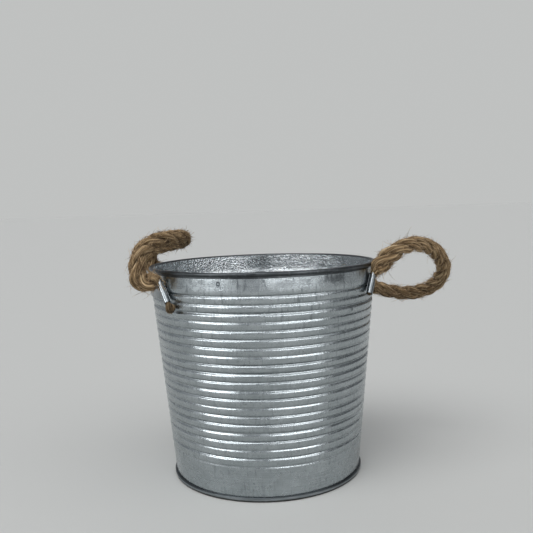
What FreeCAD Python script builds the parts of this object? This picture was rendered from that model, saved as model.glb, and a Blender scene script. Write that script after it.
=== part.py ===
"""Ribbed zinc flower bucket with two rope loop handles.

The wall is one tapered sheet, grooved all round, rolled over a wire at the rim, and lapped and
soldered down one side. Its foot sits in the folded bead of a separate base pan. On each side an
ear of sheet metal is riveted under the rim. Both slanted edges of an ear are rolled into
sleeves, and each sleeve grips one end of a thick twisted rope, which stands out as a loop.

Millimetres, +Z up. The origin is the centre of the footprint, on the ground. The handles are
on the +X side (right) and on the -X side (left). The wall's side seam is at +Y, the back.
"""
import FreeCAD
import Part
import math
import os
from FreeCAD import Vector

# ---- driving dimensions ---------------------------------------------------------------
HEIGHT = 215.0                 # ground to the top of the rim
RIM_RADIUS = 120.0             # outside of the rolled rim
SHEET = 0.6                    # wall and base sheet
CLEAR = 0.05                   # play between pieces that are folded together

FOOT_RADIUS = 95.7             # wall's outside, carried down to the ground
TAPER = 0.112
BAND_Z = 197.0                 # above it the plain top band draws in a little
BAND_TAPER = -0.068
SHOULDER_Z = 209.0             # where the band starts to curl into the rim

ROLL_RADIUS = 2.0              # the rolled rim, outside
WIRE_RADIUS = 1.35
ROLL_CENTRE_R = RIM_RADIUS - ROLL_RADIUS
ROLL_CENTRE_Z = HEIGHT - ROLL_RADIUS
ROLL_END_ANGLE = -70.0         # where the curl closes, below the outside of the wire

GROOVES = 21
GROOVE_PITCH = 8.0
FIRST_GROOVE_Z = 33.0
GROOVE_HALF_WIDTH = 1.6
GROOVE_DEPTH = 1.1
CROWN = 0.3                    # how far each band between two grooves bulges

SEAM_WIDTH = 7.0               # lap of the side seam, standing on the outside
SEAM_PROUD = 0.5
SEAM_Z = (8.0, 206.0)

WALL_FOOT_Z = 1.0              # the wall's edge, down inside the base bead
PAN_Z = 6.0                    # underside of the base disc
BEAD_HEIGHT = 4.4
BEAD_RADIUS = 97.8             # outside of the base bead
BEAD_INNER_RADIUS = 94.4
BEAD_EDGE = 0.4                # small corner of the bead, inside

EAR_SHEET = 0.7
EAR_GAP = 1.5                  # ear to the wall's chord, clear of the bulging bands
EAR_INSET = 1.5                # plate's edges, inside the sleeves' ends
SLEEVE_RADIUS = 3.3
BORE_RADIUS = SLEEVE_RADIUS - EAR_SHEET
SLEEVE_TOP = (29.3, 205.0)     # angle from the middle of the handle, height
SLEEVE_FOOT = (36.0, 185.0)

RIVET_ANGLE = 17.0
RIVET_Z = 200.0
RIVET_SHANK = 2.0
RIVET_HEAD = 4.0
RIVET_HEAD_HEIGHT = 2.0
RIVET_TAIL = 3.2
RIVET_TAIL_HEIGHT = 1.2
RIVET_PLAY = 0.1
RIVET_SEAT_PLAY = 0.3          # under the flat head and tail, on the curved sheets

ROPE_RADIUS = 7.5
CORE_RADIUS = 2.45             # the rope's end, crushed inside its sleeve
STUB_RADIUS = 4.2              # the end that peeps out below the sleeve
LEFT_STUB = 10.0               # the left rope's ends hang out of their sleeves
RIGHT_STUB = 0.8               # the right rope's ends are cut nearly flush
NECK_RISE = 5.0                # core's bend, above the sleeve
KNUCKLE_RADIUS = 4.6           # rounded end of the held rope, at the swing axis
SWING_X = 120.0                # swing axis of a loop: parallel to Y, on both sides
SWING_Z = 209.0
SWING_Y = 60.5                 # where the rope crosses the axis

# The loop's middle line from one end to the other, chosen by hand, as (out from the bucket's
# middle, along the rim, up). The right loop stands out and its back leg sags; the left loop
# stands up and curls in over the mouth.
RIGHT_LOOP = [
    (123.1, -60.4, 213.4), (131.5, -60.2, 225.5), (150.0, -53.0, 232.5), (173.0, -36.5, 228.0),
    (192.0, -15.0, 213.5), (203.5, 9.5, 195.0), (200.5, 33.5, 177.0), (184.0, 52.0, 166.5),
    (163.0, 61.5, 165.5), (144.5, 64.0, 171.0), (133.0, 62.5, 186.0), (122.6, 60.9, 204.3),
]
LEFT_LOOP = [
    (123.2, -60.5, 213.4), (129.0, -60.5, 221.5), (125.5, -58.0, 237.0), (110.0, -50.0, 244.5),
    (93.0, -38.0, 244.0), (82.0, -16.0, 242.0), (82.0, 16.0, 240.0), (92.5, 38.0, 238.0),
    (108.0, 51.0, 239.0), (124.0, 58.5, 235.0), (128.5, 61.0, 221.0), (123.1, 60.7, 213.4),
]

Z_AXIS = Vector(0, 0, 1)
ORIGIN = Vector(0, 0, 0)


# ---- small helpers --------------------------------------------------------------------
def outer_radius(z):
    """Outside of the plain wall at a height: a cone that widens up to the top band."""
    if z <= BAND_Z:
        return FOOT_RADIUS + TAPER * z
    return FOOT_RADIUS + TAPER * BAND_Z + BAND_TAPER * (z - BAND_Z)


def flat(r, z):
    """A point of a profile, in the plane y = 0."""
    return Vector(r, 0, z)


def round_point(r, angle, z):
    """A point at an angle in degrees from +X."""
    a = math.radians(angle)
    return Vector(r * math.cos(a), r * math.sin(a), z)


def line(a, b):
    return Part.LineSegment(a, b).toShape()


def arc(a, middle, b):
    return Part.Arc(a, middle, b).toShape()


def turned(edges, start=0.0, sweep=360.0):
    """Solid of revolution of a closed profile, from one angle over a sweep."""
    face = Part.Face(Part.Wire(edges))
    if start:
        face.rotate(ORIGIN, Z_AXIS, start)
    return face.revolve(ORIGIN, Z_AXIS, sweep)


def rod(a, b, radius):
    return Part.makeCylinder(radius, (b - a).Length, a, b - a)


def mirrored(shape):
    """The same piece on the other side of the bucket."""
    return shape.mirror(ORIGIN, Vector(1, 0, 0))


def save(name, shape):
    if not shape.isValid():
        raise ValueError(name + " is not a valid shape")
    shape.exportStep("parts/" + name + ".step")
    print(f"{name:18} solids {len(shape.Solids)}  volume {shape.Volume:10.1f}")


# ---- wall -----------------------------------------------------------------------------
def ribbed_line(inset, low, high):
    """The wall's line from a low to a high height, as edges, moved in by inset."""
    def point(z, depth=0.0):
        return flat(outer_radius(z) - inset - depth, z)

    edges = []
    here = point(low)
    for number in range(GROOVES):
        centre = FIRST_GROOVE_Z + number * GROOVE_PITCH
        start = point(centre - GROOVE_HALF_WIDTH)
        end = point(centre + GROOVE_HALF_WIDTH)
        if number == 0:
            edges.append(line(here, start))
        else:
            edges.append(arc(here, point(centre - GROOVE_PITCH / 2, -CROWN), start))
        edges.append(arc(start, point(centre, GROOVE_DEPTH), end))
        here = end
    edges.append(line(here, point(BAND_Z)))
    edges.append(line(point(BAND_Z), point(high)))
    return edges, point(low), point(high)


def roll_point(radius, angle):
    a = math.radians(angle)
    return flat(ROLL_CENTRE_R + radius * math.cos(a), ROLL_CENTRE_Z + radius * math.sin(a))


def roll_start_angle():
    """Where the wall, rising from its shoulder, meets the roll on the bucket's inside."""
    across = ROLL_CENTRE_R - (outer_radius(SHOULDER_Z) - SHEET / 2)
    up = ROLL_CENTRE_Z - SHOULDER_Z
    bearing = math.degrees(math.atan2(up, across))
    lean = math.degrees(math.asin((ROLL_RADIUS - SHEET / 2) / math.hypot(across, up)))
    return bearing + lean + 90.0


def wall_profile():
    outside, foot_out, shoulder_out = ribbed_line(0.0, WALL_FOOT_Z, SHOULDER_Z)
    inside, foot_in, shoulder_in = ribbed_line(SHEET, WALL_FOOT_Z, SHOULDER_Z)
    start = roll_start_angle()
    middle = (start + ROLL_END_ANGLE) / 2
    lining = ROLL_RADIUS - SHEET
    rim = [
        line(shoulder_out, roll_point(lining, start)),
        arc(roll_point(lining, start), roll_point(lining, middle), roll_point(lining, ROLL_END_ANGLE)),
        line(roll_point(lining, ROLL_END_ANGLE), roll_point(ROLL_RADIUS, ROLL_END_ANGLE)),
        arc(roll_point(ROLL_RADIUS, ROLL_END_ANGLE), roll_point(ROLL_RADIUS, middle),
            roll_point(ROLL_RADIUS, start)),
        line(roll_point(ROLL_RADIUS, start), shoulder_in),
    ]
    return outside + rim + inside[::-1] + [line(foot_in, foot_out)]


def seam_strip():
    """The lap of the side seam: the ribbed line again, standing proud over a few degrees."""
    sunk = SHEET / 2
    low, high = SEAM_Z
    outside, low_out, high_out = ribbed_line(-SEAM_PROUD, low, high)
    inside, low_in, high_in = ribbed_line(sunk, low, high)
    edges = outside + [line(high_out, high_in)] + inside[::-1] + [line(low_in, low_out)]
    sweep = math.degrees(SEAM_WIDTH / outer_radius((low + high) / 2))
    return turned(edges, 90.0 - sweep / 2, sweep)


def rivet_axis(angle):
    """Foot point on the wall's outside, and the level direction out of it."""
    return round_point(outer_radius(RIVET_Z), angle, RIVET_Z), round_point(1.0, angle, 0.0)


def rivet_angles():
    return [-RIVET_ANGLE, RIVET_ANGLE]


def rivet_hole(angle):
    foot, out = rivet_axis(angle)
    return rod(foot - out * 6, foot + out * 6, RIVET_SHANK + RIVET_PLAY)


def body_wall():
    wall = turned(wall_profile()).fuse(seam_strip())
    for angle in rivet_angles():
        hole = rivet_hole(angle)
        wall = wall.cut(hole).cut(mirrored(hole))
    return wall


def rim_wire():
    return Part.makeTorus(ROLL_CENTRE_R, WIRE_RADIUS, flat(0, ROLL_CENTRE_Z), Z_AXIS)


# ---- base -----------------------------------------------------------------------------
def base_pan():
    """Disc, inner flange and rounded foot bead in one, with a slot for the wall's edge."""
    top = PAN_Z + SHEET
    slot_z = WALL_FOOT_Z - CLEAR
    inner_top = flat(outer_radius(top) - SHEET - CLEAR, top)
    slot_in = flat(outer_radius(slot_z) - SHEET - CLEAR, slot_z)
    slot_out = flat(outer_radius(slot_z) + CLEAR, slot_z)
    bead_top = flat(outer_radius(BEAD_HEIGHT) + CLEAR, BEAD_HEIGHT)
    bead_out = flat(BEAD_RADIUS, BEAD_HEIGHT / 2)
    bead_foot = flat(BEAD_RADIUS - 1.0, 0)
    foot_in = flat(BEAD_INNER_RADIUS + BEAD_EDGE, 0)
    edge_in = flat(BEAD_INNER_RADIUS, BEAD_EDGE)
    corner = flat(BEAD_INNER_RADIUS, PAN_Z)
    points = [flat(0, top), inner_top, slot_in, slot_out, bead_top]
    edges = [line(a, b) for a, b in zip(points, points[1:])]
    edges.append(arc(bead_top, bead_out, bead_foot))
    points = [bead_foot, foot_in, edge_in, corner, flat(0, PAN_Z), flat(0, top)]
    edges += [line(a, b) for a, b in zip(points, points[1:])]
    return turned(edges)


# ---- ears and rivets ------------------------------------------------------------------
def ear_radius(z):
    """Inside of the ear at a height: straight from its foot to its top, outside the wall."""
    high, low = SLEEVE_TOP[1], SLEEVE_FOOT[1]
    share = (z - low) / (high - low)
    return (1 - share) * outer_radius(low) + share * outer_radius(high) + EAR_GAP


def sleeve_ends(side):
    """Top and foot of a sleeve's middle line; side is -1 at the front, +1 at the back."""
    def centre(angle, z):
        return round_point(ear_radius(z) + SLEEVE_RADIUS, side * angle, z)

    return centre(*SLEEVE_TOP), centre(*SLEEVE_FOOT)


def ear_plate():
    """Right-hand ear: a strip of cone between two slanted rolled sleeves."""
    high = SLEEVE_TOP[1] - EAR_INSET
    low = SLEEVE_FOOT[1] + EAR_INSET
    corners = [flat(ear_radius(low), low), flat(ear_radius(high), high),
               flat(ear_radius(high) + EAR_SHEET, high), flat(ear_radius(low) + EAR_SHEET, low)]
    strip = turned([line(a, b) for a, b in zip(corners, corners[1:] + corners[:1])], -45.0, 90.0)
    top, foot = sleeve_ends(1)
    outline = [Vector(0, foot.y, foot.z), Vector(0, top.y, top.z),
               Vector(0, -top.y, top.z), Vector(0, -foot.y, foot.z)]
    outline.append(outline[0])
    trapezoid = Part.Face(Part.makePolygon(outline)).extrude(Vector(RIM_RADIUS * 1.2, 0, 0))
    ear = strip.common(trapezoid)
    for side in (-1, 1):
        top, foot = sleeve_ends(side)
        ear = ear.fuse(rod(foot, top, SLEEVE_RADIUS))
    for side in (-1, 1):
        top, foot = sleeve_ends(side)
        beyond = (top - foot) * 0.2
        ear = ear.cut(rod(foot - beyond, top + beyond, BORE_RADIUS))
    for angle in rivet_angles():
        ear = ear.cut(rivet_hole(angle))
    return ear


def rivet(angle):
    """Domed head over the ear, shank through ear and wall, flattened tail inside."""
    foot, out = rivet_axis(angle)
    seat = foot + out * (ear_radius(RIVET_Z) + EAR_SHEET - outer_radius(RIVET_Z) + RIVET_SEAT_PLAY)
    tail = foot - out * (SHEET + RIVET_SEAT_PLAY)
    shank = rod(tail - out * (RIVET_TAIL_HEIGHT / 2), seat + out * (RIVET_HEAD_HEIGHT / 2), RIVET_SHANK)
    dome_radius = (RIVET_HEAD ** 2 + RIVET_HEAD_HEIGHT ** 2) / (2 * RIVET_HEAD_HEIGHT)
    dome = Part.makeSphere(dome_radius, seat + out * (RIVET_HEAD_HEIGHT - dome_radius))
    head = dome.common(rod(seat, seat + out * RIVET_HEAD_HEIGHT * 2, RIVET_HEAD))
    flattened = rod(tail - out * RIVET_TAIL_HEIGHT, tail, RIVET_TAIL)
    return shank.fuse(head).fuse(flattened)


def ear_rivets():
    return Part.makeCompound([rivet(angle) for angle in rivet_angles()])


# ---- ropes ----------------------------------------------------------------------------
def rope_end(side, stub_length):
    """The held end of a rope: stub, crushed core in the sleeve, neck and rounded knuckle."""
    top, foot = sleeve_ends(side)
    along = (top - foot).normalize()
    neck = top + along * NECK_RISE
    knuckle = Vector(SWING_X, side * SWING_Y, SWING_Z)
    stub_top = foot - along * CLEAR
    stub = rod(stub_top - along * stub_length, stub_top, STUB_RADIUS)
    core = rod(stub_top - along * stub_length / 2, neck, CORE_RADIUS)
    bend = Part.makeSphere(CORE_RADIUS, neck).fuse(rod(neck, knuckle, CORE_RADIUS))
    return stub.fuse(core).fuse(bend).fuse(Part.makeSphere(KNUCKLE_RADIUS, knuckle))


def rope_ends(stub_length):
    return Part.makeCompound([rope_end(-1, stub_length), rope_end(1, stub_length)])


def cord_path(points):
    """Straight runs joined by tangent arcs, each as large as its two runs allow."""
    edges = []
    radii = []
    here = points[0]
    for before, corner, after in zip(points, points[1:], points[2:]):
        back = (before - corner)
        onward = (after - corner)
        reach = 0.45 * min(back.Length, onward.Length)
        back.normalize()
        onward.normalize()
        half_turn = (math.pi - back.getAngle(onward)) / 2
        radius = reach / math.tan(half_turn)
        start = corner + back * reach
        end = corner + onward * reach
        to_middle = radius / math.cos(half_turn) - radius
        middle = corner + (back + onward).normalize() * to_middle
        edges += [line(here, start), arc(start, middle, end)]
        radii.append(round(radius, 1))
        here = end
    edges.append(line(here, points[-1]))
    return Part.Wire(edges), radii


def rope_loop(name, points):
    path, radii = cord_path([Vector(*point) for point in points])
    start = Vector(*points[0])
    direction = Vector(*points[1]) - start
    section = Part.Face(Part.Wire(Part.makeCircle(ROPE_RADIUS, start, direction)))
    loop = path.makePipe(section)
    share = loop.Volume / (math.pi * ROPE_RADIUS ** 2 * path.Length)
    print(f"{name}: length {path.Length:.1f}, radii {radii}, volume over section x length {share:.4f}")
    return loop


def main():
    os.makedirs("parts", exist_ok=True)
    save("body_wall", body_wall())
    save("rim_wire", rim_wire())
    save("base_pan", base_pan())
    for name, shape in {"ear_plate": ear_plate(), "ear_rivets": ear_rivets()}.items():
        save(name + "_right", shape)
        save(name + "_left", mirrored(shape))
    save("rope_ends_right", rope_ends(RIGHT_STUB))
    save("rope_ends_left", mirrored(rope_ends(LEFT_STUB)))
    save("rope_loop_right", rope_loop("rope_loop_right", RIGHT_LOOP))
    save("rope_loop_left", mirrored(rope_loop("rope_loop_left", LEFT_LOOP)))


main()
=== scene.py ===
"""Looks of the ribbed zinc flower bucket with two rope loop handles.

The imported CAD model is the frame. The wall, the base and the ropes are rebuilt here as finer
meshes; the ears, rivets and rim wire keep their CAD shape and get a better material.
Metres, +Z up, origin at the centre of the footprint, handles on +X (right) and -X (left).
"""
import math

import bpy
import numpy as np
from mathutils import Matrix, Vector


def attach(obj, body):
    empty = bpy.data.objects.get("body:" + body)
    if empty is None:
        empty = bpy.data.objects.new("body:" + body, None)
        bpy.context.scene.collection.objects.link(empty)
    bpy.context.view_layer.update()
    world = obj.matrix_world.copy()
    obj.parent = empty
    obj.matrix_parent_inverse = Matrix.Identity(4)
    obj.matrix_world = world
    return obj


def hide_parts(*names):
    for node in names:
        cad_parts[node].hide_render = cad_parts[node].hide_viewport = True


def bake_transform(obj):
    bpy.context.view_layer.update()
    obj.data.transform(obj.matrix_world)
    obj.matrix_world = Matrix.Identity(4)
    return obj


MM = 0.001
TURN = 2.0 * math.pi

# ---- bucket, millimetres --------------------------------------------------------------
FOOT_RADIUS = 95.7             # wall's outside, carried down to the ground
TAPER = 0.112
BAND_Z = 197.0                 # above it the plain top band draws in a little
BAND_TAPER = -0.068
SHEET = 0.6
SHOULDER_Z = 209.0             # where the wall turns into the rolled rim
ROLL_CENTRE = (118.0, 213.0)   # radius and height
ROLL_RADIUS = 2.0
ROLL_END = -70.0               # degrees, where the curl closes
WALL_FOOT_Z = 1.0
GROOVE_PITCH = 8.0
FIRST_GROOVE_Z = 33.0
GROOVE_DEPTH = 1.1
CROWN = 0.3                    # how far the wall swells out between two grooves
SEAM_ANGLE = math.radians(450.0)        # the side seam is at +Y, a quarter turn past a full one
SEAM_WIDTH = 7.0
SEAM_HALF = SEAM_WIDTH / 2 / 107.0      # half of its width as an angle, at the wall's mean radius
SEAM_PROUD = 0.5
SEAM_LOW, SEAM_HIGH = 8.0, 206.0
LINING_STEPS = 12              # points along the inside of the curl
COVER_STEPS = 22               # points along its outside
ROLL_FOOT = 165.0              # degrees, past it the curl is as bright as the inside of the wall

# Depth and half width of each pressed groove, from the lowest to the highest. A worn former
# presses some rings deeper or wider than others.
FAINT = (0.60, 1.45)
THIN = (1.00, 1.45)
THICK = (1.20, 2.10)
WIDE = (0.80, 2.20)
MEDIUM = (0.85, 1.60)
GROOVES = [FAINT, THIN, FAINT, THIN, WIDE, THIN, MEDIUM, FAINT, THIN, WIDE, THIN,
           THICK, THIN, FAINT, MEDIUM, THIN, MEDIUM, FAINT, THICK, MEDIUM, THIN]

# ---- ropes ----------------------------------------------------------------------------
ROPE_RADIUS = 7.5
CORE_RADIUS = 2.4              # crushed inside its sleeve
LAY = 48.0                     # one full turn of a strand
YARN_LAY = 45.0                # one full turn of the yarns inside a strand, the other way
YARNS = 7
STRAND_OUT = 0.46              # from the rope's middle to a strand's, as a share of its radius
STRAND_THICK = 0.60            # a strand's own radius, as a share of the rope's
STUB_RADIUS = 4.6              # the same rope, opened up again below the sleeve
DRUM_RADIUS = 4.0              # the fibre pattern winds round this
ROPE_STEP = 0.9                # between two rings of points along a loop
STUB_STEP = 0.7                # and along a cut end
SLEEVE_TOP = (106.4, 59.7, 205.0)
SLEEVE_FOOT = (98.05, 71.25, 185.0)
STUB = {"right": 0.8, "left": 10.0}     # how far the rope's ends stand out below the sleeves

# Loose fibres of a rope, as (how many, shortest, longest, thickness, least and most lift).
LYING = (900, 5.0, 12.0, 0.26, (0.0, 0.22))
FUZZ = (2600, 1.2, 4.8, 0.12, (0.25, 1.0))
LONG = (460, 4.0, 10.0, 0.13, (0.25, 1.0))
STRAY = (40, 9.0, 19.0, 0.20, (0.25, 1.0))
BRUSH_COUNT = 160              # fibres on each cut end
END_POINTS = 8                 # points at each end of a loop's line that carry no fibres

# Control points of each loop's middle line, from inside the front sleeve to inside the back
# one, as (out from the bucket's middle, along the rim, up).
ROUTES = {
    "right": [
        (101.3, -66.8, 192.8), (105.3, -61.3, 202.3), (111.0, -60.0, 209.2), (121.0, -60.5, 219.0),
        (134.0, -58.0, 228.0), (152.0, -50.0, 231.7), (174.0, -36.5, 227.2), (193.5, -15.0, 213.0),
        (205.0, 9.5, 195.0), (202.0, 33.5, 177.0), (185.0, 52.0, 167.0), (165.0, 61.0, 167.0),
        (148.0, 64.0, 171.0), (135.0, 64.5, 175.5), (131.0, 62.5, 189.0), (124.0, 61.0, 200.5),
        (111.8, 60.2, 204.3), (105.3, 61.3, 202.3), (101.3, 66.8, 192.8),
    ],
    "left": [
        (101.3, -66.8, 192.8), (105.3, -61.3, 202.3), (110.3, -59.5, 206.8), (117.5, -60.3, 202.3),
        (126.0, -60.5, 206.5), (127.8, -59.0, 220.0), (124.5, -54.5, 235.0), (110.0, -44.0, 243.5),
        (91.0, -27.0, 245.5), (79.5, 0.0, 243.0), (91.0, 30.0, 237.0), (110.0, 45.0, 233.5),
        (121.0, 53.0, 229.5), (124.5, 59.0, 218.5), (120.5, 61.0, 207.5), (111.3, 60.0, 207.0),
        (105.3, 61.3, 202.3), (101.3, 66.8, 192.8),
    ],
}

# ---- stage, metres and radians --------------------------------------------------------
AIM_HEIGHT = 0.12              # where the lamps look
FLOOR_HALF = 40.0
CAMERA_PLACE = (-0.0672, -0.7239, 0.2739)
CAMERA_HEADING = math.radians(-5.3) - 0.0096      # turned right from looking along +Y
CAMERA_PITCH = 0.0145          # looking a little up from level
CAMERA_ROLL = -0.0311

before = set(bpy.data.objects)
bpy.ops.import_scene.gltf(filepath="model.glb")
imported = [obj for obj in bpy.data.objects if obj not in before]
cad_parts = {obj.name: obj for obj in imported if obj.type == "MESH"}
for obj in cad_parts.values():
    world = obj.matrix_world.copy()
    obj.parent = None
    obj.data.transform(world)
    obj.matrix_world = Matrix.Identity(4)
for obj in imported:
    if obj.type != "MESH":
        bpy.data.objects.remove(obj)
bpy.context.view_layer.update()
scene = bpy.context.scene


# ---- mesh helpers ---------------------------------------------------------------------
def smoothstep(x):
    x = np.clip(x, 0.0, 1.0)
    return x * x * (3.0 - 2.0 * x)


def new_mesh(name, verts, faces):
    """Smooth-shaded object from millimetre vertices."""
    mesh = bpy.data.meshes.new(name)
    mesh.from_pydata((np.asarray(verts, float) * MM).tolist(), [], faces)
    mesh.polygons.foreach_set("use_smooth", [True] * len(mesh.polygons))
    mesh.update()
    obj = bpy.data.objects.new(name, mesh)
    scene.collection.objects.link(obj)
    return obj


def grid_faces(rows, columns, close_rows=False):
    """Quads of a grid of points numbered row by row, closed round each row."""
    faces = []
    for i in range(rows if close_rows else rows - 1):
        i2 = (i + 1) % rows
        for j in range(columns):
            j2 = (j + 1) % columns
            faces.append((i * columns + j, i * columns + j2, i2 * columns + j2, i2 * columns + j))
    return faces


def unit(vectors):
    return vectors / np.linalg.norm(vectors, axis=-1, keepdims=True)


def store(obj, name, kind, values):
    """Keeps a number or a vector per vertex, for the material to read."""
    layer = obj.data.attributes.new(name, kind, "POINT")
    layer.data.foreach_set("value" if kind == "FLOAT" else "vector", np.asarray(values, np.float32).ravel())


def wobble(angle, z, seed):
    """Smooth wandering number in about -1 to 1 that closes up round the bucket."""
    waves = 5                  # added up, each with its own count round the bucket
    draw = np.random.default_rng(seed)
    total = np.zeros(np.broadcast(angle, z).shape)
    for _ in range(waves):
        around = draw.integers(1, 9)
        rise = draw.uniform(-0.035, 0.035)
        total = total + np.sin(around * angle + rise * z + draw.uniform(0, TURN))
    return total / math.sqrt(waves) / 1.4


# ---- wall -----------------------------------------------------------------------------
def outer_radius(z):
    """Outside of the plain wall at a height: a cone, drawn in a little over the top band."""
    return FOOT_RADIUS + TAPER * np.minimum(z, BAND_Z) + BAND_TAPER * np.maximum(z - BAND_Z, 0.0)


def groove_fall(z, angle):
    """How far the wall is pressed in at a height and an angle, and the painted shade in each groove."""
    fall = np.zeros(np.broadcast(z, angle).shape)
    painted_shade = np.zeros(fall.shape)
    for number, (depth, half) in enumerate(GROOVES):
        # each groove wanders a little up and down, and in its depth
        centre = FIRST_GROOVE_Z + number * GROOVE_PITCH
        centre = centre + 0.12 * wobble(angle, 0.0, 100 + number)
        deep = GROOVE_DEPTH * depth * (1.0 + 0.18 * wobble(angle, 0.0, 200 + number))
        off = (z - centre) / half
        across = np.clip(np.abs(off), 0.0, 1.0)
        fall = fall + deep * (0.5 + 0.5 * np.cos(math.pi * across))
        # painted shade under the overhanging upper side of each groove, where it faces down
        line = 1.0 - np.clip(np.abs(off - 0.52) / 0.50, 0.0, 1.0)
        painted_shade = painted_shade + depth * line * (0.75 + 0.35 * wobble(angle, 0.0, 300 + number))
    low = FIRST_GROOVE_Z
    high = FIRST_GROOVE_Z + (len(GROOVES) - 1) * GROOVE_PITCH
    between = (z > low) & (z < high)
    crown = CROWN * (0.5 - 0.5 * np.cos(TURN * (z - low) / GROOVE_PITCH))
    return fall - np.where(between, crown, 0.0), np.clip(painted_shade, 0.0, 1.0)


def wall_heights(steps_per_groove):
    """Heights along the wall, dense over the grooves and sparse on the plain bands."""
    last = FIRST_GROOVE_Z + (len(GROOVES) - 1) * GROOVE_PITCH
    below = np.linspace(WALL_FOOT_Z, FIRST_GROOVE_Z - GROOVE_PITCH / 2, 9)[:-1]
    share = np.linspace(-0.5, 0.5, steps_per_groove + 1)[:-1]
    # steps crowd towards the groove's middle
    eased = 0.5 * np.sign(share) * (2 * np.abs(share)) ** 1.35
    grooves = [FIRST_GROOVE_Z + (n + e) * GROOVE_PITCH for n in range(len(GROOVES)) for e in eased]
    above = np.linspace(last + GROOVE_PITCH / 2, SHOULDER_Z, 7)
    return np.concatenate([below, grooves, above])


def wall_angles():
    """Columns round the bucket, with extra ones at both edges of the side seam at +Y."""
    plain = np.linspace(math.radians(94.0), math.radians(446.0), 252)
    edges = []
    for side in (-1, 1):
        for step in (-0.0016, -0.0005, 0.0005, 0.0016):
            edges.append(SEAM_ANGLE + side * SEAM_HALF + step)
    inner = np.linspace(-SEAM_HALF * 0.7, SEAM_HALF * 0.7, 5) + SEAM_ANGLE
    return np.sort(np.concatenate([plain, edges, inner]))


def seam_rise(angle, z):
    """How far the lapped side seam stands out from the wall."""
    off = np.abs((angle - SEAM_ANGLE + math.pi) % TURN - math.pi)
    side = smoothstep((SEAM_HALF - off) / 0.002 + 0.5)
    ends = smoothstep((z - SEAM_LOW) / 0.8) * smoothstep((SEAM_HIGH - z) / 0.8)
    return SEAM_PROUD * side * ends


def roll_arc(radius, start, end, steps):
    """Radius and height of the points of an arc round the middle of the rolled rim."""
    a = np.radians(np.linspace(start, end, steps))
    return ROLL_CENTRE[0] + radius * np.cos(a), ROLL_CENTRE[1] + radius * np.sin(a)


def roll_start_angle():
    """Where the rising wall meets the roll, on the bucket's inside."""
    across = ROLL_CENTRE[0] - (outer_radius(SHOULDER_Z) - SHEET / 2)
    up = ROLL_CENTRE[1] - SHOULDER_Z
    lean = math.degrees(math.asin((ROLL_RADIUS - SHEET / 2) / math.hypot(across, up)))
    return math.degrees(math.atan2(up, across)) + lean + 90.0


def build_wall():
    """Ribbed sheet, outside and inside, with its rolled rim: one closed skin turned round +Z."""
    angles = wall_angles()
    a = angles[None, :]
    radii, heights, painted_shades = [], [], []
    for outside, z in ((True, wall_heights(9)[:, None]), (False, wall_heights(5)[::-1][:, None])):
        fall, painted_shade = groove_fall(z, a)
        dent = 0.22 * wobble(a, z, 11) * smoothstep(z / 40.0) * smoothstep((200.0 - z) / 40.0)
        skin = outer_radius(z) - fall + dent
        radii.append(skin + seam_rise(a, z) if outside else skin - SHEET)
        heights.append(z + 0 * a)
        painted_shades.append(painted_shade)
    start = roll_start_angle()
    lining_r, lining_z = roll_arc(ROLL_RADIUS - SHEET, start, ROLL_END, LINING_STEPS)
    cover_r, cover_z = roll_arc(ROLL_RADIUS, ROLL_END, start, COVER_STEPS)
    cover_turn = np.linspace(ROLL_END, start, COVER_STEPS)
    turn = np.concatenate([np.full(LINING_STEPS, ROLL_END), cover_turn])[:, None]
    rim_r = np.concatenate([lining_r, cover_r])[:, None] + 0.06 * wobble(a, 0.0, 31)
    rim_z = np.concatenate([lining_z, cover_z])[:, None] + 0.10 * wobble(a, 0.0, 32)
    # painted shade where the curl closes, and a painted dark reflection along its top
    closed_edge = 0.5 * smoothstep((-25.0 - turn) / 30.0)
    top = 0.9 * smoothstep(1.0 - np.abs(turn - 96.0) / 34.0)
    rim_painted_shade = closed_edge + top + 0 * a
    radius = np.concatenate([radii[0], rim_r, radii[1]])
    height = np.concatenate([heights[0], rim_z, heights[1]])
    verts = np.stack([radius * np.cos(a), radius * np.sin(a), height], axis=-1)
    rows, columns = radius.shape
    wall = new_mesh("bucket_wall", verts.reshape(-1, 3), grid_faces(rows, columns, close_rows=True))
    # painted shade in the inside's grooves too, half as strong
    inside_painted_shade = 0.5 * painted_shades[1]
    store(wall, "painted_shade", "FLOAT", np.concatenate([painted_shades[0], rim_painted_shade, inside_painted_shade]))
    # the faces wear material 0 on the outside, 1 on the inside and 2 on the rim
    outside_rows = len(radii[0])
    row = np.arange(rows * columns) // columns
    rim_end = outside_rows + LINING_STEPS + int(np.sum(cover_turn < ROLL_FOOT))
    part = np.where(row < outside_rows - 1, 0, np.where(row < rim_end, 2, 1))
    wall.data.polygons.foreach_set("material_index", part.astype(np.int32))
    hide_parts("body_wall")
    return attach(wall, "root")


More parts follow.
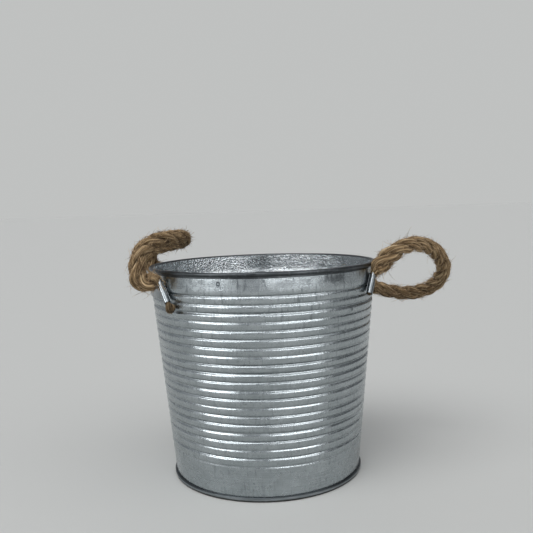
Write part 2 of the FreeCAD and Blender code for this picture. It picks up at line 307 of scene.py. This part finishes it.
# ---- base -----------------------------------------------------------------------------
def build_base():
    """Disc, inner flange and rounded foot bead, turned in one."""
    disc = (88.0, 60.0, 30.0, 2.5, 0.8, 0.2)
    top = [(r, 6.6) for r in reversed(disc)] + [(93.5, 6.6), (95.0, 6.75), (95.75, 7.4)]
    slot = [(95.72, 6.3), (95.12, 0.95), (95.95, 0.95), (96.26, 4.4), (96.9, 4.42), (97.6, 4.2)]
    bead = [(98.02, 3.6), (98.0, 2.2), (97.8, 1.2), (97.3, 0.35), (96.6, 0.0)]
    flange = [(95.2, 0.0), (94.6, 0.2), (94.4, 0.6), (94.4, 5.5), (94.0, 5.95), (93.0, 6.0)]
    profile = top + slot + bead + flange + [(r, 6.0) for r in disc[1:]]
    angles = np.linspace(0, TURN, 257)[:-1]
    r = np.array([p[0] for p in profile])[:, None]
    z = np.array([p[1] for p in profile])[:, None]
    on_bead = ((r > 96.5) & (z > 0.5)).astype(float)
    r = r + 0.08 * on_bead * wobble(angles[None, :], 0.0, 51)
    verts = np.stack([r * np.cos(angles), r * np.sin(angles), z + 0 * r * angles], axis=-1)
    faces = grid_faces(len(profile), len(angles), close_rows=True)
    base = new_mesh("base", verts.reshape(-1, 3), faces)
    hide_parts("base_pan")
    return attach(base, "root")


# ---- ropes ----------------------------------------------------------------------------
def spline_points(route, mirror):
    """Points along the smooth line that a route's control points pull, in millimetres."""
    curve = bpy.data.curves.new("route", "CURVE")
    curve.dimensions = "3D"
    curve.resolution_u = 16
    spline = curve.splines.new("NURBS")
    spline.points.add(len(route) - 1)
    for point, (out, along, up) in zip(spline.points, route):
        point.co = (mirror * out * MM, along * MM, up * MM, 1.0)
    spline.order_u = 3
    spline.use_endpoint_u = True
    holder = bpy.data.objects.new("route", curve)
    scene.collection.objects.link(holder)
    bpy.context.view_layer.update()
    mesh = bpy.data.meshes.new_from_object(holder.evaluated_get(bpy.context.evaluated_depsgraph_get()))
    points = np.array([v.co for v in mesh.vertices]) / MM
    bpy.data.objects.remove(holder)
    bpy.data.curves.remove(curve)
    bpy.data.meshes.remove(mesh)
    return points


def along_line(points, step):
    """The same line with evenly spaced points, and the distance to each."""
    lengths = np.concatenate([[0], np.cumsum(np.linalg.norm(np.diff(points, axis=0), axis=1))])
    count = max(4, int(round(lengths[-1] / step)) + 1)
    where = np.linspace(0, lengths[-1], count)
    even = np.stack([np.interp(where, lengths, points[:, k]) for k in range(3)], axis=1)
    return even, where


def frames_along(line):
    """Tangent and two crossways directions at each point, carried along without twisting."""
    tangent = unit(np.gradient(line, axis=0))
    side = np.zeros_like(line)
    side[0] = unit(np.cross(tangent[0], [0.0, 0.0, 1.0]))
    for i in range(1, len(line)):
        side[i] = unit(side[i - 1] - tangent[i] * side[i - 1].dot(tangent[i]))
    return tangent, side, np.cross(tangent, side)


def strand_mesh(line, where, radius, phase, splay=1.0):
    """Three twisted strands with their yarns: vertices, faces, a map along and around, painted shade in the
    hollows.
    """
    ring = 42                  # points round a strand
    tangent, side, up = frames_along(line)
    verts, faces, wrap, hollow_shade = [], [], [], []
    around = np.linspace(0, TURN, ring + 1)[:-1]
    along = where[:, None]
    rows = len(line)
    for strand in range(3):
        turn = phase + TURN * strand / 3 + TURN * where / LAY
        swell = 0.045 * np.sin(TURN * where / 23.0 + 2.1 * strand + phase)
        swell = swell + 0.03 * np.sin(TURN * where / 9.1 + 1.3 * strand)
        spread = radius * STRAND_OUT * splay
        thick = radius * STRAND_THICK * (1 + swell)
        out = side * np.cos(turn)[:, None] + up * np.sin(turn)[:, None]
        across = np.cross(tangent, out)
        centre = line + out * spread[:, None]
        slant = around[None, :] + TURN * along / YARN_LAY
        yarn = YARNS * slant + 0.9 * np.sin(2 * slant + 1.7 * strand)
        relief = 0.93 + 0.13 * np.abs(np.cos(yarn / 2)) ** 0.8
        relief = relief + 0.03 * np.sin(3 * around + along / 3.1 + strand)
        relief = relief + 0.025 * np.sin(11 * slant + 2.0 * np.sin(along / 6.0 + strand))
        size = thick[:, None] * relief
        points = (centre[:, None, :]
                  + out[:, None, :] * (np.cos(around)[None, :] * size)[:, :, None]
                  + across[:, None, :] * (np.sin(around)[None, :] * size)[:, :, None])
        # painted shade where strands meet and between two yarns
        reach = np.hypot(spread[:, None] + size * np.cos(around), size * np.sin(around)) / radius[:, None]
        valley = 1.0 - np.abs(np.cos(yarn / 2))
        hollow_shade.append(1.0 - smoothstep((reach - 0.60) / 0.34) * (1.0 - 0.75 * valley ** 1.5))
        first = strand * rows * ring
        verts.append(points.reshape(-1, 3))
        faces += [tuple(first + k for k in face) for face in grid_faces(rows, ring)]
        faces.append(tuple(first + k for k in range(ring))[::-1])
        faces.append(tuple(first + (rows - 1) * ring + k for k in range(ring)))
        # the map winds round a drum, so that it closes up without a seam
        down = along + 400.0 * strand + 0 * slant
        drum = [down, DRUM_RADIUS * np.cos(slant), DRUM_RADIUS * np.sin(slant)]
        wrap.append(np.stack(drum, axis=-1).reshape(-1, 3))
    return np.concatenate(verts), faces, np.concatenate(wrap), np.concatenate(hollow_shade)


def hair_mesh(roots, outward, onward, lengths, thickness, draw, lift=(0.25, 1.0)):
    """Loose fibres: thin three-sided tubes that leave the surface and curl."""
    steps = 3                  # straight bits in each fibre
    count = len(roots)
    way = draw.choice([-1.0, 1.0], count)[:, None]
    rise = draw.uniform(*lift, count)[:, None]
    direction = unit(onward * way + outward * rise + 0.25 * draw.normal(0, 1, (count, 3)))
    curl = draw.normal(0, 0.9 * lift[1], (count, 3))
    across = unit(np.cross(direction, outward + 0.01))
    point = roots
    rings = []
    for k in range(steps + 1):
        over = np.cross(direction, across)
        size = thickness * (1 - 0.75 * k / steps)
        for corner in range(3):
            a = TURN * corner / 3
            rings.append(point + size * (across * math.cos(a) + over * math.sin(a)))
        point = point + direction * lengths[:, None] / steps
        direction = unit(direction + curl / steps)
        across = unit(np.cross(over, direction))
    verts = np.stack(rings, axis=1).reshape(-1, 3)
    one = []
    for k in range(steps):
        for corner in range(3):
            after = (corner + 1) % 3
            one.append((3 * k + corner, 3 * k + after, 3 * k + 3 + after, 3 * k + 3 + corner))
    each = 3 * (steps + 1)
    faces = [tuple(each * n + k for k in face) for n in range(count) for face in one]
    faces += [(each * n + 2, each * n + 1, each * n) for n in range(count)]
    faces += [(each * n + each - 3, each * n + each - 2, each * n + each - 1) for n in range(count)]
    return verts, faces


def joined(parts):
    """Several (vertices, faces) as one."""
    verts, faces, first = [], [], 0
    for v, f in parts:
        verts.append(v)
        faces += [tuple(first + k for k in face) for face in f]
        first += len(v)
    return np.concatenate(verts), faces


def hairs_on(name, line, radius, seed):
    """Loose fibres of a rope: some lie along its surface, some stand up, a few stray far."""
    draw = np.random.default_rng(seed)
    tangent, side, up = frames_along(line)
    parts = []
    for count, shortest, longest, thickness, lift in (LYING, FUZZ, LONG, STRAY):
        pick = draw.integers(END_POINTS, len(line) - END_POINTS, count)
        turn = draw.uniform(0, TURN, count)
        out = side[pick] * np.cos(turn)[:, None] + up[pick] * np.sin(turn)[:, None]
        roots = line[pick] + out * (radius[pick] * 0.95)[:, None]
        lengths = draw.uniform(shortest, longest, count)
        parts.append(hair_mesh(roots, out, tangent[pick], lengths, thickness, draw, lift))
    return new_mesh(name, *joined(parts))


def sleeve_line(side, mirror, beyond):
    """Straight line down a sleeve, from half way along it to a length beyond its foot."""
    top = np.array([mirror * SLEEVE_TOP[0], side * SLEEVE_TOP[1], SLEEVE_TOP[2]])
    foot = np.array([mirror * SLEEVE_FOOT[0], side * SLEEVE_FOOT[1], SLEEVE_FOOT[2]])
    down = (foot - top) / np.linalg.norm(foot - top)
    start = top + (foot - top) * 0.5
    end = foot + down * beyond
    return along_line(np.array([start, (start + end) / 2, end]), STUB_STEP)


def build_stubs(word, mirror):
    """A rope's two ends, as they come out below an ear's sleeves, with a brush of fibres."""
    beyond = STUB[word]
    strands, maps, hairs = [], [], []
    for side in (-1, 1):
        line, where = sleeve_line(side, mirror, beyond)
        below = where - (where[-1] - beyond)
        radius = CORE_RADIUS + (STUB_RADIUS - CORE_RADIUS) * smoothstep(below / 5.0)
        radius = radius * (1 - 0.25 * smoothstep((below - beyond + 2.0) / 2.0))
        splay = 1 + 0.15 * smoothstep(below / beyond)
        verts, faces, wrap, hollow_shade = strand_mesh(line, where, radius, 0.7 * side, splay)
        strands.append((verts, faces))
        maps.append((wrap, hollow_shade))
        draw = np.random.default_rng(60 + side + int(mirror))
        tangent, across, up = frames_along(line)
        turn = draw.uniform(0, TURN, BRUSH_COUNT)
        out = across[-1] * np.cos(turn)[:, None] + up[-1] * np.sin(turn)[:, None]
        reach = 0.9 * radius[-1] * np.sqrt(draw.random(BRUSH_COUNT))
        roots = line[-1] - tangent[-1] * 0.8 + out * reach[:, None]
        lengths = draw.uniform(0.08, 0.28, BRUSH_COUNT) * beyond
        onward = np.repeat(tangent[-1:], BRUSH_COUNT, 0) * 1.5
        hairs.append(hair_mesh(roots, out * 0.4, onward, lengths, 0.12, draw))
    stubs = new_mesh("rope_stubs_" + word, *joined(strands))
    store(stubs, "yarn", "FLOAT_VECTOR", np.concatenate([wrap for wrap, _ in maps]))
    store(stubs, "hollow_shade", "FLOAT", np.concatenate([hollow_shade for _, hollow_shade in maps]))
    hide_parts("rope_ends_" + word)
    brush = new_mesh("stub_fibres_" + word, *joined(hairs))
    for piece in (stubs, brush):
        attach(piece, "root")
    return stubs, brush


def rope_radius(where):
    """Outside radius along a rope: crushed in both sleeves, opened up a little beside them."""
    inside = 15.0              # length of rope in each sleeve
    grow = 8.5                 # length over which it swells to its full size
    free = np.minimum(where, where[-1] - where) - inside
    # it is thickest from 9 mm to 20 mm beyond a sleeve
    opened = smoothstep((free - 1.0) / 8.0) * smoothstep((36.0 - free) / 16.0)
    full = ROPE_RADIUS * (1.0 + 0.15 * opened)
    return CORE_RADIUS + (full - CORE_RADIUS) * smoothstep((free + 4.0) / grow)


def build_rope(word, mirror, seed):
    """A rope's free loop with its loose fibres, from inside one sleeve to inside the other."""
    path = spline_points(ROUTES[word], mirror)
    line, where = along_line(path, ROPE_STEP)
    radius = rope_radius(where)
    verts, faces, wrap, hollow_shade = strand_mesh(line, where, radius, 0.4 * seed)
    rope = new_mesh("rope_" + word, verts, faces)
    store(rope, "yarn", "FLOAT_VECTOR", wrap)
    store(rope, "hollow_shade", "FLOAT", hollow_shade)
    fuzz = hairs_on("rope_fibres_" + word, line, radius, seed)
    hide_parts("rope_loop_" + word)
    for piece in (rope, fuzz):
        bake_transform(piece)
    return rope, fuzz


# ---- materials ------------------------------------------------------------------------
class Nodes:
    """Short way to add and link shader nodes."""

    def __init__(self, name):
        self.material = bpy.data.materials.new(name)
        self.material.use_nodes = True
        self.tree = self.material.node_tree
        self.shader = self.tree.nodes["Principled BSDF"]

    def add(self, kind, **inputs):
        node = self.tree.nodes.new(kind)
        for name, value in inputs.items():
            self.put(node.inputs[name.replace("_", " ")], value)
        return node

    def put(self, socket, value):
        if isinstance(value, bpy.types.NodeSocket):
            self.tree.links.new(value, socket)
        else:
            socket.default_value = value

    def math(self, operation, a, b=0.0, clamp=False):
        node = self.tree.nodes.new("ShaderNodeMath")
        node.operation = operation
        node.use_clamp = clamp
        self.put(node.inputs[0], a)
        self.put(node.inputs[1], b)
        return node.outputs[0]

    def remap(self, value, low, high, to_low, to_high):
        node = self.tree.nodes.new("ShaderNodeMapRange")
        for socket, number in zip(node.inputs, (value, low, high, to_low, to_high)):
            self.put(socket, number)
        return node.outputs[0]

    def mix(self, share, a, b):
        """Colour a where the share is 0, colour b where it is 1."""
        node = self.tree.nodes.new("ShaderNodeMix")
        node.data_type = "RGBA"
        self.put(node.inputs[0], share)
        self.put(node.inputs[6], a)
        self.put(node.inputs[7], b)
        return node.outputs[2]

    def stretched(self, source, scale):
        node = self.tree.nodes.new("ShaderNodeMapping")
        self.put(node.inputs["Vector"], source)
        node.inputs["Scale"].default_value = scale
        return node.outputs[0]

    def noise(self, vector, scale, detail=2.0, roughness=0.5):
        node = self.add("ShaderNodeTexNoise", Scale=scale, Detail=detail, Roughness=roughness)
        self.put(node.inputs["Vector"], vector)
        return node.outputs["Fac"]

    def bump(self, height, distance, under=None):
        node = self.add("ShaderNodeBump", Distance=distance)
        self.put(node.inputs["Height"], height)
        if under is not None:
            self.put(node.inputs["Normal"], under)
        return node.outputs["Normal"]


    def place(self):
        """Where a point is in its object, in metres."""
        return self.tree.nodes.new("ShaderNodeTexCoord").outputs["Object"]

    def parts(self, vector):
        """The three numbers of a vector."""
        node = self.tree.nodes.new("ShaderNodeSeparateXYZ")
        self.put(node.inputs[0], vector)
        return node.outputs

    def radius(self, place):
        """Distance from the bucket's upright middle line."""
        node = self.tree.nodes.new("ShaderNodeVectorMath")
        node.operation = "LENGTH"
        self.put(node.inputs[0], self.stretched(place, (1.0, 1.0, 0.0)))
        return node.outputs["Value"]

    def attribute(self, name, output):
        """What store() kept at the vertices."""
        node = self.tree.nodes.new("ShaderNodeAttribute")
        node.attribute_name = name
        return node.outputs[output]


def far_from(n, place, angle, z, stretch=(1.0, 1.0, 1.0)):
    """Distance from a point of the wall, given by its angle from the front and its height.

    A stretch under 1 along an axis makes the distance grow more slowly that way.
    """
    a = math.radians(angle)
    r = outer_radius(z)
    spot = (r * math.sin(a) * MM, -r * math.cos(a) * MM, z * MM)
    node = n.tree.nodes.new("ShaderNodeVectorMath")
    node.operation = "DISTANCE"
    n.put(node.inputs[0], n.stretched(place, stretch))
    node.inputs[1].default_value = [c * k for c, k in zip(spot, stretch)]
    return node.outputs["Value"]


def zinc_wall(name, dark, light, rough, flecks, outside):
    """Galvanised sheet: dull blue-grey, mottled, with drawing lines, upright runs and painted shade in the
    grooves.

    flecks is the height in metres of the grain that makes it sparkle.
    """
    n = Nodes(name)
    place = n.place()
    height = n.parts(place)[2]
    cloud = n.noise(place, 21.0, 3.0, 0.6)
    mottle = n.noise(place, 130.0, 3.0, 0.65)
    grain = n.noise(place, 620.0, 2.0, 0.6)
    drawn = n.noise(n.stretched(place, (30.0, 30.0, 900.0)), 1.0, 3.0, 0.6)
    runs = n.noise(n.stretched(place, (430.0, 430.0, 62.0)), 1.0, 3.0, 0.55)
    shade = n.math("ADD", n.math("MULTIPLY", cloud, 0.40), n.math("MULTIPLY", mottle, 0.25))
    shade = n.math("ADD", shade, n.math("MULTIPLY", drawn, 0.35))
    colour = n.mix(n.remap(shade, 0.34, 0.66, 0.0, 1.0), dark, light)
    # dark upright runs, strongest on the top band
    strength = n.remap(height, 0.150, 0.200, 0.34, 0.70)
    run = n.math("MULTIPLY", n.remap(runs, 0.57, 0.69, 0.0, 1.0), strength)
    colour = n.mix(run, colour, (0.13, 0.15, 0.165, 1.0))
    # painted shade in the grooves, broken along each ring
    broken = n.noise(n.stretched(place, (160.0, 160.0, 420.0)), 1.0, 3.0, 0.6)
    broken = n.remap(broken, 0.34, 0.58, 0.35, 1.0)
    painted_shade = n.math("MULTIPLY", n.math("MULTIPLY", n.attribute("painted_shade", "Fac"), broken), 0.85, clamp=True)
    colour = n.mix(painted_shade, colour, (0.040, 0.048, 0.056, 1.0))
    specks = n.noise(n.stretched(place, (300.0, 300.0, 420.0)), 1.0, 2.0, 0.5)
    colour = n.mix(n.remap(specks, 0.70, 0.76, 0.0, 0.6), colour, (0.09, 0.10, 0.11, 1.0))
    if outside:
        # a small ring-shaped mark and a stain on the top band, and a dark spot below it
        ring = n.math("ABSOLUTE", n.math("SUBTRACT", far_from(n, place, -25.7, 204.7), 0.0015))
        colour = n.mix(n.remap(ring, 0.0003, 0.0009, 0.9, 0.0), colour, (0.06, 0.07, 0.08, 1.0))
        stain = far_from(n, place, 30.0, 205.5, (0.42, 0.42, 1.0))
        stain = n.math("ADD", stain, n.math("MULTIPLY", mottle, 0.011))
        colour = n.mix(n.remap(stain, 0.0085, 0.0115, 0.55, 0.0), colour, (0.10, 0.11, 0.12, 1.0))
        spot = far_from(n, place, 42.0, 173.0)
        colour = n.mix(n.remap(spot, 0.0010, 0.0024, 0.7, 0.0), colour, (0.07, 0.08, 0.09, 1.0))
    else:
        # painted dark reflection: the inside is darker along the side seam and beside it
        seam = far_from(n, place, 175.0, 205.0, (1.0, 1.0, 0.3))
        seam = n.math("ADD", seam, n.math("MULTIPLY", mottle, 0.008))
        colour = n.mix(n.remap(seam, 0.006, 0.024, 0.72, 0.0), colour, (0.15, 0.17, 0.18, 1.0))
    n.put(n.shader.inputs["Base Color"], colour)
    n.shader.inputs["Metallic"].default_value = 1.0
    roughness = n.math("ADD", n.remap(mottle, 0.3, 0.7, rough - 0.05, rough + 0.06),
                       n.math("MULTIPLY", painted_shade, 0.25))
    n.put(n.shader.inputs["Roughness"], roughness)
    normal = n.bump(drawn, 0.00005)
    # the grain is coarsest on the two highest rings
    rise = n.remap(height, 0.165, 0.183, 0.45, 1.7)
    drop = n.remap(height, 0.194, 0.198, 0.0, 1.3)
    coarse = n.math("MULTIPLY", grain, n.math("SUBTRACT", rise, drop))
    normal = n.bump(coarse, 0.00014, normal)
    normal = n.bump(n.noise(place, 440.0, 2.0, 0.6), flecks, normal)
    normal = n.bump(n.math("ADD", cloud, n.math("MULTIPLY", runs, 0.08)), 0.0008, normal)
    n.put(n.shader.inputs["Normal"], normal)
    return n.material


def base_zinc():
    """The base pan: plain zinc, with a painted shade line in the crease over its bead and a painted contact
    shadow along its foot.
    """
    n = Nodes("base_zinc")
    place = n.place()
    cloud = n.noise(place, 30.0, 3.0, 0.6)
    fine = n.noise(place, 240.0, 3.0, 0.6)
    colour = n.mix(n.remap(cloud, 0.35, 0.65, 0.0, 1.0), (0.20, 0.225, 0.235, 1.0), (0.29, 0.32, 0.335, 1.0))
    height = n.math("ADD", n.parts(place)[2], n.math("MULTIPLY", fine, 0.0006))
    # painted shade in the crease along the top of the bead
    colour = n.mix(n.remap(height, 0.0032, 0.0040, 0.0, 0.85), colour, (0.045, 0.05, 0.055, 1.0))
    # painted contact shadow over the bead's lower half
    colour = n.mix(n.remap(height, 0.0014, 0.0026, 0.92, 0.0), colour, (0.036, 0.031, 0.027, 1.0))
    disc = n.mix(n.remap(fine, 0.4, 0.6, 0.0, 1.0), (0.30, 0.33, 0.345, 1.0), (0.42, 0.46, 0.48, 1.0))
    colour = n.mix(n.remap(n.radius(place), 0.0930, 0.0945, 1.0, 0.0), colour, disc)
    n.put(n.shader.inputs["Base Color"], colour)
    n.shader.inputs["Metallic"].default_value = 1.0
    n.put(n.shader.inputs["Roughness"], n.remap(fine, 0.3, 0.7, 0.30, 0.45))
    n.put(n.shader.inputs["Normal"], n.bump(n.math("ADD", cloud, n.math("MULTIPLY", fine, 0.2)), 0.0006))
    return n.material


def rim_zinc():
    """The rolled rim: dull and dark, its dark tone a painted dark reflection, with painted shade where the
    curl closes and a painted dark reflection along its top.
    """
    n = Nodes("rim_zinc")
    place = n.place()
    cloud = n.noise(place, 60.0, 4.0, 0.65)
    runs = n.noise(n.stretched(place, (260.0, 260.0, 90.0)), 1.0, 3.0, 0.6)
    worn = n.remap(cloud, 0.35, 0.65, 0.0, 1.0)
    # the rim's dark tones, far darker than the wall's zinc, are a painted dark reflection
    colour = n.mix(worn, (0.052, 0.058, 0.062, 1.0), (0.100, 0.110, 0.117, 1.0))
    colour = n.mix(n.remap(runs, 0.58, 0.68, 0.0, 0.6), colour, (0.17, 0.185, 0.195, 1.0))
    # painted shade where the curl closes and painted dark reflection along its top
    painted_shade = n.math("MULTIPLY", n.attribute("painted_shade", "Fac"), 0.9, clamp=True)
    colour = n.mix(painted_shade, colour, (0.018, 0.021, 0.024, 1.0))
    n.put(n.shader.inputs["Base Color"], colour)
    n.shader.inputs["Metallic"].default_value = 1.0
    n.put(n.shader.inputs["Roughness"], n.remap(runs, 0.3, 0.7, 0.30, 0.44))
    n.put(n.shader.inputs["Normal"], n.bump(cloud, 0.0005))
    return n.material


def ear_zinc():
    """Bright plated sheet, smooth on the outside of the sleeves, with painted shade next to the wall."""
    n = Nodes("ear_zinc")
    place = n.place()
    cloud = n.noise(place, 90.0, 3.0, 0.6)
    scuff = n.noise(n.stretched(place, (900.0, 900.0, 90.0)), 1.0, 3.0, 0.6)
    colour = n.mix(n.remap(cloud, 0.35, 0.65, 0.0, 1.0), (0.22, 0.24, 0.255, 1.0), (0.32, 0.345, 0.36, 1.0))
    _, along, up = n.parts(place)
    # painted shade in the crevice between a sleeve's far side and the wall; the sleeve leans with the ear's
    # edge
    lean = (SLEEVE_FOOT[1] - SLEEVE_TOP[1]) / (SLEEVE_TOP[2] - SLEEVE_FOOT[2])
    edge = (SLEEVE_TOP[1] + lean * SLEEVE_TOP[2]) * MM
    beyond = n.math("ADD", n.math("ABSOLUTE", along), n.math("MULTIPLY", up, lean))
    far_side = n.remap(beyond, edge + 0.0003, edge + 0.0016, 0.0, 1.0)
    crevice_painted_shade = n.math("MULTIPLY", far_side, n.remap(n.radius(place), 0.1202, 0.1218, 0.93, 0.0))
    colour = n.mix(crevice_painted_shade, colour, (0.02, 0.022, 0.025, 1.0))
    n.put(n.shader.inputs["Base Color"], colour)
    n.shader.inputs["Metallic"].default_value = 1.0
    n.put(n.shader.inputs["Roughness"], n.remap(scuff, 0.35, 0.65, 0.15, 0.24))
    n.put(n.shader.inputs["Normal"], n.bump(scuff, 0.00004))
    return n.material


def jute(name, brightness):
    """Hairy natural fibre in twisted yarns, streaked light and dark along the yarn."""
    def tone(*colour):
        return (*[part * brightness for part in colour], 1.0)

    n = Nodes(name)
    place = n.attribute("yarn", "Vector")
    streak = n.noise(n.stretched(place, (0.055, 0.85, 0.85)), 1.0, 3.0, 0.6)
    fibre = n.noise(n.stretched(place, (0.10, 2.6, 2.6)), 1.0, 3.0, 0.6)
    blotch = n.noise(n.stretched(place, (0.035, 0.16, 0.16)), 1.0, 2.0, 0.5)
    shade = n.math("ADD", n.math("MULTIPLY", streak, 0.68), n.math("MULTIPLY", fibre, 0.32))
    colour = n.mix(n.remap(shade, 0.40, 0.51, 0.0, 1.0), tone(0.080, 0.048, 0.023), tone(0.43, 0.284, 0.145))
    colour = n.mix(n.remap(shade, 0.52, 0.60, 0.0, 1.0), colour, tone(0.92, 0.70, 0.43))
    colour = n.mix(n.remap(blotch, 0.38, 0.66, 0.0, 0.5), colour, tone(0.23, 0.145, 0.071))
    # painted shade in the hollows between strands and yarns
    hollow_shade = n.math("MULTIPLY", n.attribute("hollow_shade", "Fac"), 0.90, clamp=True)
    colour = n.mix(hollow_shade, colour, tone(0.028, 0.017, 0.009))
    # painted shade on whatever hangs lowest
    low = n.remap(n.parts(n.place())[2], 0.188, 0.170, 0.0, 0.42)
    colour = n.mix(low, colour, tone(0.040, 0.026, 0.015))
    n.put(n.shader.inputs["Base Color"], colour)
    n.shader.inputs["Roughness"].default_value = 0.9
    n.shader.inputs["Specular IOR Level"].default_value = 0.2
    n.shader.inputs["Sheen Weight"].default_value = 0.15
    n.shader.inputs["Sheen Roughness"].default_value = 0.5
    n.shader.inputs["Sheen Tint"].default_value = (0.80, 0.65, 0.45, 1.0)
    n.put(n.shader.inputs["Normal"], n.bump(shade, 0.0022))
    return n.material


def hair_material():
    n = Nodes("jute_hair")
    shade = n.remap(n.noise(n.place(), 260.0, 2.0, 0.5), 0.42, 0.60, 0.0, 1.0)
    n.put(n.shader.inputs["Base Color"], n.mix(shade, (0.15, 0.090, 0.044, 1.0), (0.72, 0.52, 0.30, 1.0)))
    n.shader.inputs["Roughness"].default_value = 0.8
    return n.material


def paint(obj, *materials):
    """Gives materials to an object; its faces already say which of them they wear."""
    worn = [face.material_index for face in obj.data.polygons]
    obj.data.materials.clear()
    for material in materials:
        obj.data.materials.append(material)
    obj.data.polygons.foreach_set("material_index", [min(k, len(materials) - 1) for k in worn])


# ---- stage, camera and lights ---------------------------------------------------------
def around(azimuth, elevation, distance):
    """Place at an azimuth in degrees from the front (-Y) towards +X, at an elevation."""
    a = math.radians(azimuth)
    e = math.radians(elevation)
    flat = distance * math.cos(e)
    return (flat * math.sin(a), -flat * math.cos(a), AIM_HEIGHT + distance * math.sin(e))


def add_lamp(name, kind, place, strength):
    """A lamp that looks at the bucket from a place."""
    data = bpy.data.lights.new(name, kind)
    data.energy = strength
    lamp = bpy.data.objects.new(name, data)
    lamp.location = place
    aim = Vector((0.0, 0.0, AIM_HEIGHT)) - Vector(place)
    lamp.rotation_euler = aim.to_track_quat("-Z", "Y").to_euler()
    scene.collection.objects.link(lamp)
    return data


def soft_sun(name, azimuth, elevation, strength, spread):
    add_lamp(name, "SUN", around(azimuth, elevation, 3.0), strength).angle = math.radians(spread)


def low_panel(name, azimuth, width, power):
    """Long low light that only the zinc mirrors, mostly on the inside of the far wall."""
    data = add_lamp(name, "AREA", around(azimuth, 15.5, 2.4), power)
    data.shape = "RECTANGLE"
    data.size = width
    data.size_y = 0.50
    scene.objects[name].visible_diffuse = False


def build_floor():
    mesh = bpy.data.meshes.new("floor")
    corners = [(x * FLOOR_HALF, y * FLOOR_HALF, 0) for x, y in ((-1, -1), (1, -1), (1, 1), (-1, 1))]
    mesh.from_pydata(corners, [], [(0, 1, 2, 3)])
    floor = bpy.data.objects.new("floor", mesh)
    scene.collection.objects.link(floor)
    n = Nodes("pale_floor")
    n.shader.inputs["Base Color"].default_value = (0.60, 0.605, 0.59, 1.0)
    n.shader.inputs["Roughness"].default_value = 0.8
    paint(floor, n.material)


def build_world():
    """A pale backdrop to look at, and a dimmer soft sky that lights the bucket."""
    world = bpy.data.worlds.new("studio")
    world.use_nodes = True
    tree = world.node_tree
    sky = tree.nodes["Background"]
    # the studio is darker on the right
    place = tree.nodes.new("ShaderNodeTexCoord")
    split = tree.nodes.new("ShaderNodeSeparateXYZ")
    shade = tree.nodes.new("ShaderNodeMapRange")
    tree.links.new(place.outputs["Generated"], split.inputs[0])
    tree.links.new(split.outputs[0], shade.inputs[0])
    for socket, number in zip(shade.inputs[1:5], (-0.1, 0.9, 1.0, 0.45)):
        socket.default_value = number
    tree.links.new(shade.outputs[0], sky.inputs["Strength"])
    sky.inputs["Color"].default_value = (0.34, 0.35, 0.365, 1.0)
    backdrop = tree.nodes.new("ShaderNodeBackground")
    backdrop.inputs["Color"].default_value = (0.525, 0.535, 0.53, 1.0)
    mix = tree.nodes.new("ShaderNodeMixShader")
    seen = tree.nodes.new("ShaderNodeLightPath")
    tree.links.new(seen.outputs["Is Camera Ray"], mix.inputs[0])
    tree.links.new(sky.outputs[0], mix.inputs[1])
    tree.links.new(backdrop.outputs[0], mix.inputs[2])
    tree.links.new(mix.outputs[0], tree.nodes["World Output"].inputs["Surface"])
    scene.world = world


def build_lights():
    soft_sun("key_left", -43, 56, 1.30, 44)
    soft_sun("key_right", 48, 55, 0.66, 62)
    soft_sun("back", 165, 50, 0.25, 60)
    low_panel("window_right", 27, 2.5, 19.0)
    low_panel("window_left", -58, 1.7, 18.0)


def build_camera():
    """Camera slightly left of the front and a little above the rim, looking almost level."""
    data = bpy.data.cameras.new("camera")
    data.lens = 45.68
    data.sensor_width = 36.0
    data.shift_y = -0.131
    data.clip_start = 0.01
    camera = bpy.data.objects.new("camera", data)
    scene.collection.objects.link(camera)
    heading = Matrix.Rotation(CAMERA_HEADING, 4, "Z")
    pitch = Matrix.Rotation(math.pi / 2 + CAMERA_PITCH, 4, "X")
    roll = Matrix.Rotation(CAMERA_ROLL, 4, "Z")
    camera.matrix_world = Matrix.Translation(CAMERA_PLACE) @ heading @ pitch @ roll
    scene.camera = camera


# ---- build ----------------------------------------------------------------------------
build_camera()
build_floor()
build_world()
build_lights()
scene.view_settings.view_transform = "Standard"

right_rope, right_fuzz = build_rope("right", 1.0, 3)
left_rope, left_fuzz = build_rope("left", -1.0, 5)
right_stubs, right_brush = build_stubs("right", 1.0)
left_stubs, left_brush = build_stubs("left", -1.0)
wall = build_wall()
base = build_base()

outside_zinc = zinc_wall("outside_zinc", (0.30, 0.335, 0.35, 1), (0.47, 0.51, 0.53, 1), 0.26, 0.00006, True)
# the inside is a much lighter copy of the same zinc: painted light on the inside of the bucket
inside_zinc = zinc_wall("inside_zinc", (0.42, 0.45, 0.465, 1), (0.90, 0.94, 0.96, 1), 0.12, 0.0015, False)
ear = ear_zinc()
jute_rope = jute("jute_rope", 1.0)
jute_cut = jute("jute_cut", 0.55)
jute_hair = hair_material()
paint(wall, outside_zinc, inside_zinc, rim_zinc())
paint(base, base_zinc())
for word in ("right", "left"):
    paint(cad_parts["ear_plate_" + word], ear)
    paint(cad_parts["ear_rivets_" + word], ear)
paint(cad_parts["rim_wire"], ear)
for piece in (right_rope, left_rope):
    paint(piece, jute_rope)
for piece in (right_stubs, left_stubs):
    paint(piece, jute_cut)
for piece in (right_fuzz, left_fuzz, right_brush, left_brush):
    paint(piece, jute_hair)
